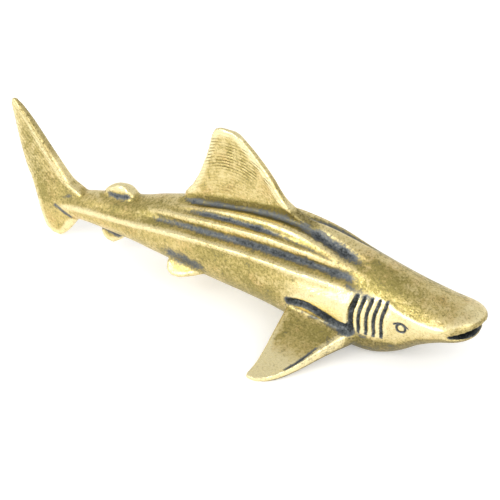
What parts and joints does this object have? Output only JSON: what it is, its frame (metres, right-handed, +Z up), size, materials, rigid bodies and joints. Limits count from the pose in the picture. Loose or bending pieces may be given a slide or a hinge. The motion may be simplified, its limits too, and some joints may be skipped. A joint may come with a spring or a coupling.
{
  "type": "shark figurine",
  "caption": "Small solid brass shark figurine, cast in one piece, lying on its chest, fin tips and tail.",
  "frame": {"origin": "bottom centre of the bounding box, on the surface that the figurine rests on", "axes": "+X towards the snout, +Y to the shark's left, +Z up towards the dorsal fin"},
  "size_m": [0.0804, 0.0366, 0.0276],
  "materials": {
    "brass": "cast, aged: dark in the recesses and worn bright on the raised edges"
  },
  "bodies": {
    "root": {"shark": "brass"}
  },
  "joints": []
}
